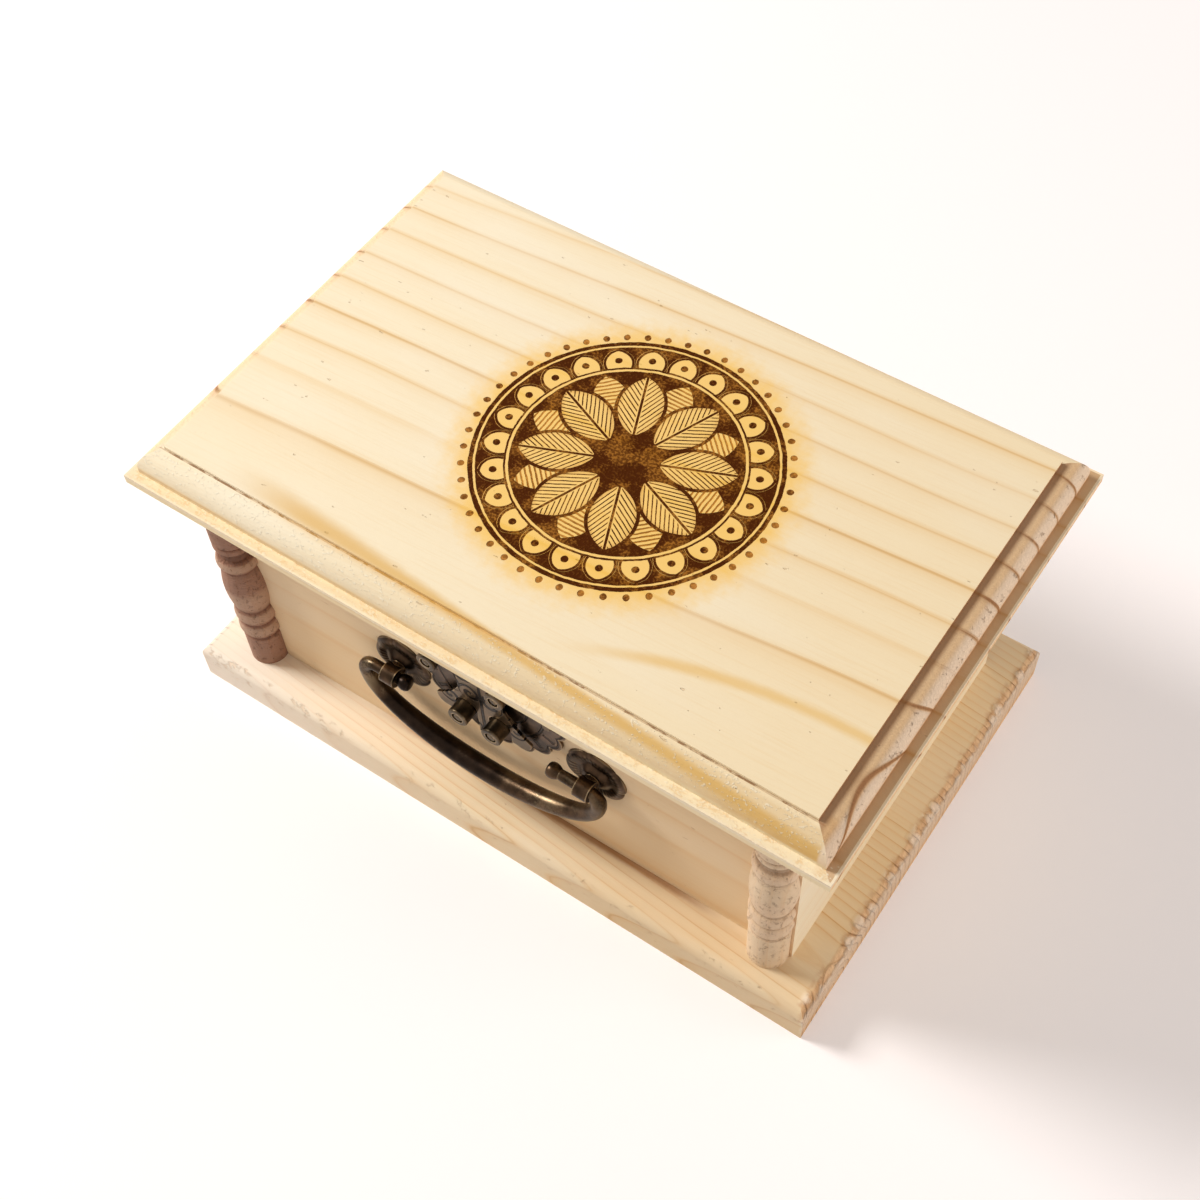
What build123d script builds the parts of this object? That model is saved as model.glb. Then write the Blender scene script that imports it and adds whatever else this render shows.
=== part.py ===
"""Small pine keepsake box with a moulded lid, two turned columns, a bail handle and a hasp.

Frame: millimetres, +Z up, the front of the box faces -Y, +X is to its right.
The origin is on the ground, under the middle of the lid.
"""
from build123d import *
import math
import os

os.makedirs("parts", exist_ok=True)

# Box walls, which stand on the base board
BOX_LENGTH = 193.4
BOX_WIDTH = 114.0
WALL_HEIGHT = 82.0
WALL = 9.0

# Base board, and how far it stands out past the ends and the long walls
BASE_PAST_ENDS = 11.8
BASE_PAST_WALLS = 13.5
BASE_THICKNESS = 14.0
BASE_ROUND = 3.0

# Lid board, its overhang and its moulded edge
LID_PAST_ENDS = 13.3
LID_PAST_WALLS = 14.0
LID_THICKNESS = 12.0
LEDGE_WIDTH = 3.0
LEDGE_HEIGHT = 3.0
OVOLO_RADIUS = 6.0
OVOLO_MARGIN = 0.2
FIELD_STEP = 1.2
LID_GAP = 0.2

# Turned columns, planed flat at the back and glued to the front wall
COLUMN_INSET = 6.7
COLUMN_PROUD = 1.3
COLUMN_RADIUS = 6.0
BARREL_RADIUS = 6.8
BEAD_RADIUS = 6.5
GROOVE_RADIUS = 5.5
NECK_RADIUS = 4.9
LOW_BEAD_HEIGHT = 6.7
BARREL_HEIGHT = 19.8
TOP_BEAD_HEIGHT = 5.7
NECK_HEIGHT = 2.6
RIDGE_HEIGHT = 3.4
RIGHT_FOOT_HEIGHT = 18.4
LEFT_FOOT_HEIGHT = 13.4
FOOT_CHAMFER = 0.8

# Panel pins that hold the base board to the walls
BASE_NAIL_RADIUS = 0.8
BASE_NAIL_HEAD_RADIUS = 1.7
BASE_NAIL_HEAD = 1.0
BASE_NAIL_LENGTH = 32.0
BASE_NAIL_INSET = 30.0

# Bail handle, hanging, and pushed along its pins towards the left
HANDLE_X = 1.1
HANDLE_SPACING = 65.4
HANDLE_HEIGHT = 40.8
BAIL_DROP = 24.5
BAIL_STRAIGHT = 3.0
BAIL_ROD_RADIUS = 2.7
BAIL_END_RADIUS = 1.65
BAIL_TAPER_TURN = 20.0
BAIL_PIN_RADIUS = 1.55
BAIL_PIN_CLEARANCE = 0.08
BAIL_KNOB_RADIUS = 2.3
BAIL_KNOB_LENGTH = 4.0
BAIL_KNOB_ROUND = 0.8
BAIL_SIDE_PLAY = 0.35
BAIL_SLIDE = 2.7

# Rosettes and eye posts of the handle
ROSETTE_THICKNESS = 1.2
PETAL_COUNT = 6
PETAL_RADIUS = 4.4
PETAL_RIM = 0.5
PETAL_CENTRE = 5.5
PETAL_TURN = 15.0
BOSS_RADIUS = 5.6
BOSS_TOP_RADIUS = 3.2
BOSS_HEIGHT = 1.0
EYE_RADIUS = 3.1
EYE_LENGTH = 4.6
EYE_REACH = 5.5
EYE_NECK_RADIUS = 2.4
STEM_RADIUS = 2.0
NUT_WIDTH = 7.0
NUT_THICKNESS = 3.2
WASHER_RADIUS = 4.5
WASHER_THICKNESS = 0.8
STEM_END = 1.2

# Latch plate on the front wall
PLATE_X = 0.4
PLATE_HEIGHT = 55.0
PLATE_THICKNESS = 1.0
PLATE_BODY_RADIUS = 22.5
PLATE_LOBES = 18
PLATE_LOBE_RADIUS = 4.4
PLATE_LOBE_CENTRE = 20.6
PLATE_TURN = -4.5
TACK_RADIUS = 0.6
TACK_LENGTH = 7.0
TACK_HEAD_RADIUS = 1.4
TACK_HEAD = 0.7
TACK_CIRCLE = 18.9

# Two hollow posts on the plate; the hasp and its bracket share their centre line
LATCH_X = -1.2
POST_SPACING = 11.3
POST_RADIUS = 3.2
POST_LENGTH = 6.8
POST_DROP = 11.9
POST_FLANGE_RADIUS = 3.8
POST_FLANGE = 0.6
POST_BORE_DEPTH = 4.0
POST_WALL = 1.4
POST_ROUND = 0.5

# Hasp bracket under the lid, with two pivot posts and their pin
BRACKET_WIDTH = 40.0
BRACKET_SHEET = 0.8
BRACKET_REACH = 9.5
BRACKET_GAP = 0.3
BRACKET_BELOW_PIVOT = 8.0
BRACKET_CORNER = 3.0
PIVOT_DROP = 12.8
PIVOT_FROM_SHEET = 3.1
PIVOT_SPACING = 21.9
PIVOT_RADIUS = 3.0
PIVOT_LENGTH = 8.0
PIVOT_BORE_DEPTH = 3.2
HASP_PIN_RADIUS = 1.0
HASP_PIN_CLEARANCE = 0.06
HASP_PIN_END = 0.5

# Hasp that swings on the pin and drops over the two posts of the plate
HASP_SIDE_PLAY = 0.35
HASP_BARREL_RADIUS = 2.75
HASP_SHEET = 0.9
HASP_SKIRT_WIDTH = 32.0
HASP_SHOULDER_DROP = 17.4
HASP_FLARE = 0.35
HASP_SKIRT_DROP = 27.4
HASP_LOBE_DROP = 31.4
HASP_TAB_DROP = 39.0
HASP_NOTCH_CLEARANCE = 0.5

# Surface butt hinges in the corner between back wall and lid
HINGE_X = 62.0
HINGE_LENGTH = 20.0
HINGE_LEAF = 9.0
HINGE_SHEET = 0.8
HINGE_BARREL_RADIUS = 1.3
HINGE_PIN_RADIUS = 0.7
HINGE_PIN_CLEARANCE = 0.05
HINGE_KNUCKLE_GAP = 0.15
SCREW_RADIUS = 0.8
SCREW_HEAD_RADIUS = 1.6
SCREW_LENGTH = 6.5
HINGE_SCREW_SPREAD = 6.0
BRACKET_SCREW_SPREAD = 9.0

# Places worked out from the sizes above
BASE_LENGTH = BOX_LENGTH + 2 * BASE_PAST_ENDS
BASE_WIDTH = BOX_WIDTH + 2 * BASE_PAST_WALLS
LID_LENGTH = BOX_LENGTH + 2 * LID_PAST_ENDS
LID_WIDTH = BOX_WIDTH + 2 * LID_PAST_WALLS
WALL_TOP = BASE_THICKNESS + WALL_HEIGHT
LID_BOTTOM = WALL_TOP + LID_GAP
FRONT_FACE = -BOX_WIDTH / 2
BACK_FACE = BOX_WIDTH / 2
COLUMN_X = BOX_LENGTH / 2 - COLUMN_INSET
COLUMN_Y = FRONT_FACE - COLUMN_PROUD
HANDLE_Z = BASE_THICKNESS + HANDLE_HEIGHT
EYE_Y = FRONT_FACE - EYE_REACH
PLATE_Z = BASE_THICKNESS + PLATE_HEIGHT
PLATE_FRONT = FRONT_FACE - PLATE_THICKNESS
POST_Z = PLATE_Z - POST_DROP
BRACKET_BACK = PLATE_FRONT - BRACKET_GAP
BRACKET_FRONT = BRACKET_BACK - BRACKET_SHEET
PIVOT_Z = LID_BOTTOM - PIVOT_DROP
PIVOT_Y = BRACKET_FRONT - PIVOT_FROM_SHEET
HINGE_Y = BACK_FACE + HINGE_BARREL_RADIUS
HINGE_Z = LID_BOTTOM - HINGE_BARREL_RADIUS

LOW = (Align.CENTER, Align.CENTER, Align.MIN)
TO_FRONT = Rot(X=90)


def block(length, width, height, z):
    """A box centred in plan whose underside is at height z."""
    return Pos(0, 0, z) * Box(length, width, height, align=LOW)


def rod_x(radius, length, x, y, z):
    """A cylinder along X, centred at x."""
    return Pos(x, y, z) * Rot(Y=90) * Cylinder(radius, length)


def rod_front(radius, length, x, y, z):
    """A cylinder that starts at depth y and runs towards the front."""
    return Pos(x, y, z) * TO_FRONT * Cylinder(radius, length, align=LOW)


def rod_back(radius, length, x, y, z):
    """A cylinder that starts at depth y and runs towards the back."""
    return Pos(x, y, z) * Rot(X=-90) * Cylinder(radius, length, align=LOW)


def countersunk_screw(head_radius, shank_radius, length):
    """A flat-headed screw along +Z with the top of its head at the origin."""
    head_height = head_radius - shank_radius
    head = Cone(head_radius, shank_radius, head_height, align=LOW)
    return head + Cylinder(shank_radius, length, align=LOW)


def base_nail_places():
    """Centres of the panel pins: three along each long wall and one in each end wall."""
    long_y = BOX_WIDTH / 2 - WALL / 2
    end_x = BOX_LENGTH / 2 - WALL / 2
    reach = BOX_LENGTH / 2 - BASE_NAIL_INSET
    places = []
    for side in (-1, 1):
        for x in (-reach, 0.0, reach):
            places.append((x, side * long_y))
        places.append((side * end_x, 0.0))
    return places


def base_nails():
    """Panel pins driven up through the base board into the walls, heads flush."""
    pins = []
    for x, y in base_nail_places():
        head = Cylinder(BASE_NAIL_HEAD_RADIUS, BASE_NAIL_HEAD, align=LOW)
        shank = Cylinder(BASE_NAIL_RADIUS, BASE_NAIL_LENGTH, align=LOW)
        pins.append(Pos(x, y, 0) * (head + shank))
    return pins


def base_board():
    board = block(BASE_LENGTH, BASE_WIDTH, BASE_THICKNESS, 0)
    top_edges = board.faces().sort_by(Axis.Z)[-1].edges()
    board = fillet(top_edges, BASE_ROUND)
    for pin in base_nails():
        board -= pin
    return board


def stem_places():
    """X places of the two eye posts of the handle."""
    return [HANDLE_X - HANDLE_SPACING / 2, HANDLE_X + HANDLE_SPACING / 2]


def tack_places():
    """Places of the two tacks, in line with two opposite lobes of the latch plate."""
    angle = math.radians(PLATE_TURN)
    reach_x = TACK_CIRCLE * math.cos(angle)
    reach_z = TACK_CIRCLE * math.sin(angle)
    return [(PLATE_X + side * reach_x, PLATE_Z + side * reach_z) for side in (-1, 1)]


def front_wall():
    """Front board between the end walls, bored for the handle's stems and the tacks."""
    length = BOX_LENGTH - 2 * WALL
    wall = Pos(0, FRONT_FACE + WALL / 2, BASE_THICKNESS) * Box(length, WALL, WALL_HEIGHT, align=LOW)
    for x in stem_places():
        wall -= rod_back(STEM_RADIUS, WALL, x, FRONT_FACE, HANDLE_Z)
    for x, z in tack_places():
        wall -= rod_back(TACK_RADIUS, TACK_LENGTH - PLATE_THICKNESS, x, FRONT_FACE, z)
    for pin in base_nails():
        wall -= pin
    return wall


def back_wall():
    """Back board between the end walls, bored for the hinge screws."""
    length = BOX_LENGTH - 2 * WALL
    wall = Pos(0, BACK_FACE - WALL / 2, BASE_THICKNESS) * Box(length, WALL, WALL_HEIGHT, align=LOW)
    for screw in hinge_wall_screws():
        wall -= screw
    for pin in base_nails():
        wall -= pin
    return wall


def end_wall(side):
    """End board over the full depth of the box."""
    x = side * (BOX_LENGTH / 2 - WALL / 2)
    wall = Pos(x, 0, BASE_THICKNESS) * Box(WALL, BOX_WIDTH, WALL_HEIGHT, align=LOW)
    for pin in base_nails():
        wall -= pin
    return wall


def lid_board():
    """One board: a thin ledge at the bottom, an ovolo above it and a raised field."""
    middle_bottom = LID_BOTTOM + LEDGE_HEIGHT
    middle_height = LID_THICKNESS - LEDGE_HEIGHT - FIELD_STEP
    middle_length = LID_LENGTH - 2 * LEDGE_WIDTH
    middle_width = LID_WIDTH - 2 * LEDGE_WIDTH
    ledge = block(LID_LENGTH, LID_WIDTH, LEDGE_HEIGHT, LID_BOTTOM)
    middle = block(middle_length, middle_width, middle_height, middle_bottom)
    middle = fillet(middle.faces().sort_by(Axis.Z)[-1].edges(), OVOLO_RADIUS)
    margin = OVOLO_RADIUS + OVOLO_MARGIN
    field_length = middle_length - 2 * margin
    field_width = middle_width - 2 * margin
    field = block(field_length, field_width, FIELD_STEP, middle_bottom + middle_height)
    board = ledge + middle + field
    for screw in hinge_lid_screws() + bracket_screws():
        board -= screw
    return board


def column(side, foot_height):
    """Turned column: plain foot, two beads, a long barrel, a bead, a neck, a ridge, a plain top."""
    height = foot_height
    foot_top = foot_height - FOOT_CHAMFER
    outline = Curve() + Polyline((0, 0), (COLUMN_RADIUS, 0), (COLUMN_RADIUS, foot_top), (GROOVE_RADIUS, height))

    swells = [
        (LOW_BEAD_HEIGHT, GROOVE_RADIUS, BEAD_RADIUS, GROOVE_RADIUS),
        (LOW_BEAD_HEIGHT, GROOVE_RADIUS, BEAD_RADIUS, GROOVE_RADIUS),
        (BARREL_HEIGHT, GROOVE_RADIUS, BARREL_RADIUS, GROOVE_RADIUS),
        (TOP_BEAD_HEIGHT, GROOVE_RADIUS, BEAD_RADIUS, NECK_RADIUS),
        (NECK_HEIGHT, NECK_RADIUS, NECK_RADIUS, NECK_RADIUS),
        (RIDGE_HEIGHT, NECK_RADIUS, COLUMN_RADIUS, GROOVE_RADIUS)]
    for rise, start, belly, end in swells:
        if start == belly == end:
            outline += Line((start, height), (end, height + rise))
        else:
            outline += ThreePointArc((start, height), (belly, height + rise / 2), (end, height + rise))
        height += rise
    outline += Polyline(
        (GROOVE_RADIUS, height), (COLUMN_RADIUS, height + FOOT_CHAMFER),
        (COLUMN_RADIUS, WALL_HEIGHT), (0, WALL_HEIGHT), (0, 0))
    turned = revolve(make_face(Plane.XZ * outline), Axis.Z)
    span = 4 * BARREL_RADIUS
    behind = Pos(0, COLUMN_PROUD, WALL_HEIGHT / 2) * Box(
        span, span, 2 * WALL_HEIGHT, align=(Align.CENTER, Align.MIN, Align.CENTER))
    return Pos(side * COLUMN_X, COLUMN_Y, BASE_THICKNESS) * (turned - behind)


def petal():
    """Domed round petal along +Z: a thin rim and a spherical crown."""
    crown = ROSETTE_THICKNESS - PETAL_RIM
    dome_radius = (PETAL_RADIUS ** 2 + crown ** 2) / (2 * crown)
    disc = Cylinder(PETAL_RADIUS, ROSETTE_THICKNESS, align=LOW)
    return disc & Pos(0, 0, ROSETTE_THICKNESS - dome_radius) * Sphere(dome_radius)


def rosette(x):
    """Flower-shaped back plate with six domed petals and a low cone in the middle."""
    height = ROSETTE_THICKNESS + BOSS_HEIGHT
    flower = Cylinder(PETAL_CENTRE, PETAL_RIM, align=LOW)
    for number in range(PETAL_COUNT):
        turn = PETAL_TURN + 360 / PETAL_COUNT * number
        flower += Rot(Z=turn) * Pos(PETAL_CENTRE, 0, 0) * petal()
    flower += Cone(BOSS_RADIUS, BOSS_TOP_RADIUS, height, align=LOW)
    flower -= Cylinder(STEM_RADIUS, height, align=LOW)
    return Pos(x, FRONT_FACE, HANDLE_Z) * TO_FRONT * flower


def handle_post(x):
    """Eye for the bail's pin on a neck, with a stem through the wall."""
    seat = FRONT_FACE - ROSETTE_THICKNESS - BOSS_HEIGHT
    inside = WALL + WASHER_THICKNESS + NUT_THICKNESS + STEM_END
    stem = rod_back(STEM_RADIUS, inside - (seat - FRONT_FACE), x, seat, HANDLE_Z)
    neck = rod_front(EYE_NECK_RADIUS, seat - EYE_Y, x, seat, HANDLE_Z)
    eye = rod_x(EYE_RADIUS, EYE_LENGTH, x, EYE_Y, HANDLE_Z)
    bore = rod_x(BAIL_PIN_RADIUS + BAIL_PIN_CLEARANCE, 2 * EYE_LENGTH, x, EYE_Y, HANDLE_Z)
    return stem + neck + eye - bore


def handle_nut(x):
    hexagon = RegularPolygon(NUT_WIDTH / 2, 6, major_radius=False)
    nut = extrude(hexagon - Circle(STEM_RADIUS), NUT_THICKNESS)
    inner_face = FRONT_FACE + WALL + WASHER_THICKNESS
    return Pos(x, inner_face, HANDLE_Z) * Rot(X=-90) * nut


def handle_washer(x):
    ring = extrude(Circle(WASHER_RADIUS) - Circle(STEM_RADIUS), WASHER_THICKNESS)
    return Pos(x, FRONT_FACE + WALL, HANDLE_Z) * Rot(X=-90) * ring


def bail():
    """Round bar in a half-oval bow that thins towards its ends, with pins that turn in to knobs."""
    half_width = HANDLE_SPACING / 2 + EYE_LENGTH / 2 + BAIL_SIDE_PLAY + BAIL_SLIDE + BAIL_END_RADIUS
    oval_height = BAIL_DROP - BAIL_STRAIGHT
    straight = Line((half_width, 0), (half_width, -BAIL_STRAIGHT))
    centre = (0, -BAIL_STRAIGHT)
    bend = EllipticalCenterArc(centre, half_width, oval_height, 0, arc_size=-BAIL_TAPER_TURN)
    bow_turn = BAIL_TAPER_TURN - 90
    bow = EllipticalCenterArc(centre, half_width, oval_height, -BAIL_TAPER_TURN, arc_size=bow_turn)
    thin_path = Plane.XZ * Wire([straight, bend])
    thin_start = thin_path.location_at(0) * Circle(BAIL_END_RADIUS)
    thin_end = thin_path.location_at(1) * Circle(BAIL_ROD_RADIUS)
    bow_path = Plane.XZ * bow
    half = sweep([thin_start, thin_end], path=thin_path, multisection=True)
    half += sweep(bow_path.location_at(0) * Circle(BAIL_ROD_RADIUS), path=bow_path)
    half += Pos(half_width, 0, 0) * Sphere(BAIL_END_RADIUS)
    knob_start = HANDLE_SPACING / 2 - EYE_LENGTH / 2 - BAIL_SLIDE - BAIL_SIDE_PLAY
    knob_end = knob_start - BAIL_KNOB_LENGTH
    knob = rod_x(BAIL_KNOB_RADIUS, BAIL_KNOB_LENGTH, (knob_start + knob_end) / 2, 0, 0)
    knob = fillet(knob.edges().filter_by(GeomType.CIRCLE), BAIL_KNOB_ROUND)
    half += rod_x(BAIL_PIN_RADIUS, half_width - knob_end, (half_width + knob_end) / 2, 0, 0)
    half += knob
    return Pos(HANDLE_X - BAIL_SLIDE, EYE_Y, HANDLE_Z) * (half + mirror(half, Plane.YZ))


def latch_plate():
    """Round plate with a scalloped rim on the front wall, behind the hasp."""
    outline = Circle(PLATE_BODY_RADIUS)
    for number in range(PLATE_LOBES):
        angle = math.radians(PLATE_TURN + 360 / PLATE_LOBES * number)
        centre = Pos(PLATE_LOBE_CENTRE * math.cos(angle), PLATE_LOBE_CENTRE * math.sin(angle))
        outline += centre * Circle(PLATE_LOBE_RADIUS)
    plate = Pos(PLATE_X, FRONT_FACE, PLATE_Z) * TO_FRONT * extrude(outline, PLATE_THICKNESS)
    for x, z in tack_places():
        plate -= rod_front(TACK_RADIUS, PLATE_THICKNESS, x, FRONT_FACE, z)
    return plate


def hollow_post(radius, length, depth):
    """Round post along +Z with a rounded rim and a blind bore of the given depth in its end."""
    post = Cylinder(radius, length, align=LOW)
    post = fillet(post.edges().filter_by(GeomType.CIRCLE).sort_by(Axis.Z)[-1], POST_ROUND)
    return post - Pos(0, 0, length - depth) * Cylinder(radius - POST_WALL, depth, align=LOW)


def latch_post(side):
    """Hollow post with a flange, riveted to the latch plate."""
    post = hollow_post(POST_RADIUS, POST_LENGTH, POST_BORE_DEPTH)
    post += Cylinder(POST_FLANGE_RADIUS, POST_FLANGE, align=LOW)
    return Pos(LATCH_X + side * POST_SPACING / 2, PLATE_FRONT, POST_Z) * TO_FRONT * post


def latch_tacks():
    tacks = []
    for x, z in tack_places():
        shank = rod_back(TACK_RADIUS, TACK_LENGTH, x, PLATE_FRONT, z)
        head = rod_front(TACK_HEAD_RADIUS, TACK_HEAD, x, PLATE_FRONT, z)
        head = fillet(head.edges().filter_by(GeomType.CIRCLE).sort_by(Axis.Y)[0], TACK_HEAD / 2)
        tacks.append(head + shank)
    return tacks


def bracket_screws():
    """Two screws that hold the bracket's flange up against the lid."""
    y = BRACKET_BACK - BRACKET_REACH / 2
    screw = countersunk_screw(SCREW_HEAD_RADIUS, SCREW_RADIUS, SCREW_LENGTH)
    underside = LID_BOTTOM - BRACKET_SHEET
    return [Pos(LATCH_X + side * BRACKET_SCREW_SPREAD, y, underside) * screw for side in (-1, 1)]


def hasp_bracket():
    """Angle of sheet under the lid, with two hollow pivot posts bored across for the pin."""
    bottom = PIVOT_Z - BRACKET_BELOW_PIVOT
    height = LID_BOTTOM - bottom
    sheet = Pos(LATCH_X, BRACKET_BACK, bottom) * Box(
        BRACKET_WIDTH, BRACKET_SHEET, height, align=(Align.CENTER, Align.MAX, Align.MIN))
    low_corners = sheet.edges().filter_by(Axis.Y).group_by(Axis.Z)[0]
    sheet = fillet(low_corners, BRACKET_CORNER)
    flange = Pos(LATCH_X, BRACKET_BACK, LID_BOTTOM) * Box(
        BRACKET_WIDTH, BRACKET_REACH, BRACKET_SHEET, align=(Align.CENTER, Align.MAX, Align.MAX))
    bracket = sheet + flange
    post = hollow_post(PIVOT_RADIUS, PIVOT_LENGTH, PIVOT_BORE_DEPTH)
    for side in (-1, 1):
        bracket += Pos(LATCH_X + side * PIVOT_SPACING / 2, BRACKET_FRONT, PIVOT_Z) * TO_FRONT * post
    bracket -= rod_x(HASP_PIN_RADIUS, BRACKET_WIDTH, LATCH_X, PIVOT_Y, PIVOT_Z)
    for screw in bracket_screws():
        bracket -= screw
    return bracket


def hasp_pin():
    length = PIVOT_SPACING + 2 * PIVOT_RADIUS + 2 * HASP_PIN_END
    return rod_x(HASP_PIN_RADIUS, length, LATCH_X, PIVOT_Y, PIVOT_Z)


def hasp():
    """Bell-shaped leaf under a rolled barrel, with a notch for each post and a tab between."""
    width = PIVOT_SPACING - 2 * PIVOT_RADIUS - 2 * HASP_SIDE_PLAY
    half_top = width / 2
    half_skirt = HASP_SKIRT_WIDTH / 2
    notch = POST_RADIUS + HASP_NOTCH_CLEARANCE
    flare = half_top + (half_skirt - half_top) * HASP_FLARE
    flare_middle = (flare, -(HASP_SHOULDER_DROP + HASP_SKIRT_DROP) / 2)
    lobe_round = (half_skirt - POST_SPACING / 2 - notch) / 2
    right = [
        Line((0, 0), (half_top, 0)),
        Line((half_top, 0), (half_top, -HASP_SHOULDER_DROP)),
        ThreePointArc((half_top, -HASP_SHOULDER_DROP), flare_middle, (half_skirt, -HASP_SKIRT_DROP)),
        Line((half_skirt, -HASP_SKIRT_DROP), (half_skirt, -HASP_LOBE_DROP)),
        Line((half_skirt, -HASP_LOBE_DROP), (0, -HASP_LOBE_DROP)),
        Line((0, -HASP_LOBE_DROP), (0, 0))]
    bell = make_face(Wire(right))
    bell += mirror(bell, Plane.YZ)
    corners = bell.vertices().group_by(Axis.Y)[0].filter_by(lambda corner: abs(corner.X) > half_top)
    bell = fillet(corners, lobe_round)
    tab_half = POST_SPACING / 2 - notch
    tab_height = HASP_TAB_DROP - HASP_SKIRT_DROP
    tab = Pos(0, -HASP_TAB_DROP + tab_half) * Circle(tab_half)
    tab += Pos(0, -HASP_TAB_DROP + tab_half) * Rectangle(
        2 * tab_half, tab_height, align=(Align.CENTER, Align.MIN))
    leaf_face = bell + tab
    post_drop = PIVOT_Z - POST_Z
    for side in (-1, 1):
        x = side * POST_SPACING / 2
        leaf_face -= Pos(x, -post_drop) * Circle(notch)
        leaf_face -= Pos(x, -post_drop) * Rectangle(
            2 * notch, HASP_LOBE_DROP, align=(Align.CENTER, Align.MAX))
    back = PIVOT_Y + HASP_BARREL_RADIUS
    leaf = Pos(LATCH_X, back, PIVOT_Z) * TO_FRONT * extrude(leaf_face, HASP_SHEET)
    barrel = rod_x(HASP_BARREL_RADIUS, width, LATCH_X, PIVOT_Y, PIVOT_Z)
    bore = rod_x(HASP_PIN_RADIUS + HASP_PIN_CLEARANCE, 2 * width, LATCH_X, PIVOT_Y, PIVOT_Z)
    return leaf + barrel - bore


def hinge_screw_places(side):
    """X places of the two screws in a leaf of one hinge."""
    middle = side * HINGE_X
    return [middle - HINGE_SCREW_SPREAD, middle + HINGE_SCREW_SPREAD]


def hinge_wall_screws():
    screw = countersunk_screw(SCREW_HEAD_RADIUS, SCREW_RADIUS, SCREW_LENGTH)
    z = HINGE_Z - HINGE_BARREL_RADIUS - HINGE_LEAF / 2
    face = BACK_FACE + HINGE_SHEET
    screws = []
    for side in (-1, 1):
        for x in hinge_screw_places(side):
            screws.append(Pos(x, face, z) * Rot(X=90) * screw)
    return screws


def hinge_lid_screws():
    screw = countersunk_screw(SCREW_HEAD_RADIUS, SCREW_RADIUS, SCREW_LENGTH)
    y = HINGE_Y + HINGE_BARREL_RADIUS + HINGE_LEAF / 2
    face = LID_BOTTOM - HINGE_SHEET
    screws = []
    for side in (-1, 1):
        for x in hinge_screw_places(side):
            screws.append(Pos(x, y, face) * screw)
    return screws


def hinge_bore(side, clearance):
    return rod_x(HINGE_PIN_RADIUS + clearance, 2 * HINGE_LENGTH, side * HINGE_X, HINGE_Y, HINGE_Z)


def hinge_wall_leaf(side):
    """Leaf on the back wall with the two outer knuckles."""
    middle = side * HINGE_X
    knuckle = HINGE_LENGTH / 3
    drop = HINGE_BARREL_RADIUS + HINGE_LEAF
    leaf = Pos(middle, BACK_FACE, HINGE_Z) * Box(
        HINGE_LENGTH, HINGE_SHEET, drop, align=(Align.CENTER, Align.MIN, Align.MAX))
    top_notch = Pos(middle, BACK_FACE, HINGE_Z) * Box(
        knuckle + 2 * HINGE_KNUCKLE_GAP, 2 * HINGE_SHEET, 2 * HINGE_BARREL_RADIUS + HINGE_KNUCKLE_GAP)
    leaf -= top_notch
    for end in (-1, 1):
        outer = knuckle - HINGE_KNUCKLE_GAP
        x = middle + end * (HINGE_LENGTH / 2 - outer / 2)
        leaf += rod_x(HINGE_BARREL_RADIUS, outer, x, HINGE_Y, HINGE_Z)
    leaf -= hinge_bore(side, 0.0)
    for screw in hinge_wall_screws():
        leaf -= screw
    return leaf


def hinge_lid_leaf(side):
    """Leaf under the lid with the middle knuckle."""
    middle = side * HINGE_X
    knuckle = HINGE_LENGTH / 3
    reach = HINGE_BARREL_RADIUS + HINGE_LEAF
    leaf = Pos(middle, HINGE_Y, LID_BOTTOM) * Box(
        HINGE_LENGTH, reach, HINGE_SHEET, align=(Align.CENTER, Align.MIN, Align.MAX))
    for end in (-1, 1):
        x = middle + end * (HINGE_LENGTH / 2 + knuckle / 2 - knuckle + HINGE_KNUCKLE_GAP / 2)
        notch = Pos(x, HINGE_Y, LID_BOTTOM) * Box(
            knuckle + HINGE_KNUCKLE_GAP, 2 * (HINGE_BARREL_RADIUS + HINGE_KNUCKLE_GAP), 4 * HINGE_SHEET)
        leaf -= notch
    leaf += rod_x(HINGE_BARREL_RADIUS, knuckle, middle, HINGE_Y, HINGE_Z)
    leaf -= hinge_bore(side, HINGE_PIN_CLEARANCE)
    for screw in hinge_lid_screws():
        leaf -= screw
    return leaf


def hinge_pin(side):
    return rod_x(HINGE_PIN_RADIUS, HINGE_LENGTH, side * HINGE_X, HINGE_Y, HINGE_Z)


def as_one_node(pieces):
    return Compound(children=list(pieces))


left_post_x, right_post_x = stem_places()
nodes = {
    "base_board": base_board(),
    "base_nails": as_one_node(base_nails()),
    "front_wall": front_wall(),
    "back_wall": back_wall(),
    "left_wall": end_wall(-1),
    "right_wall": end_wall(1),
    "lid_board": lid_board(),
    "column_left": column(-1, LEFT_FOOT_HEIGHT),
    "column_right": column(1, RIGHT_FOOT_HEIGHT),
    "handle_rosette_left": rosette(left_post_x),
    "handle_rosette_right": rosette(right_post_x),
    "handle_post_left": handle_post(left_post_x),
    "handle_post_right": handle_post(right_post_x),
    "handle_washers": as_one_node(handle_washer(x) for x in stem_places()),
    "handle_nuts": as_one_node(handle_nut(x) for x in stem_places()),
    "bail": bail(),
    "latch_plate": latch_plate(),
    "latch_post_left": latch_post(-1),
    "latch_post_right": latch_post(1),
    "latch_tacks": as_one_node(latch_tacks()),
    "hasp_bracket": hasp_bracket(),
    "bracket_screws": as_one_node(bracket_screws()),
    "hasp_pin": hasp_pin(),
    "hasp": hasp(),
    "hinge_wall_screws": as_one_node(hinge_wall_screws()),
    "hinge_lid_screws": as_one_node(hinge_lid_screws()),
}
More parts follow.
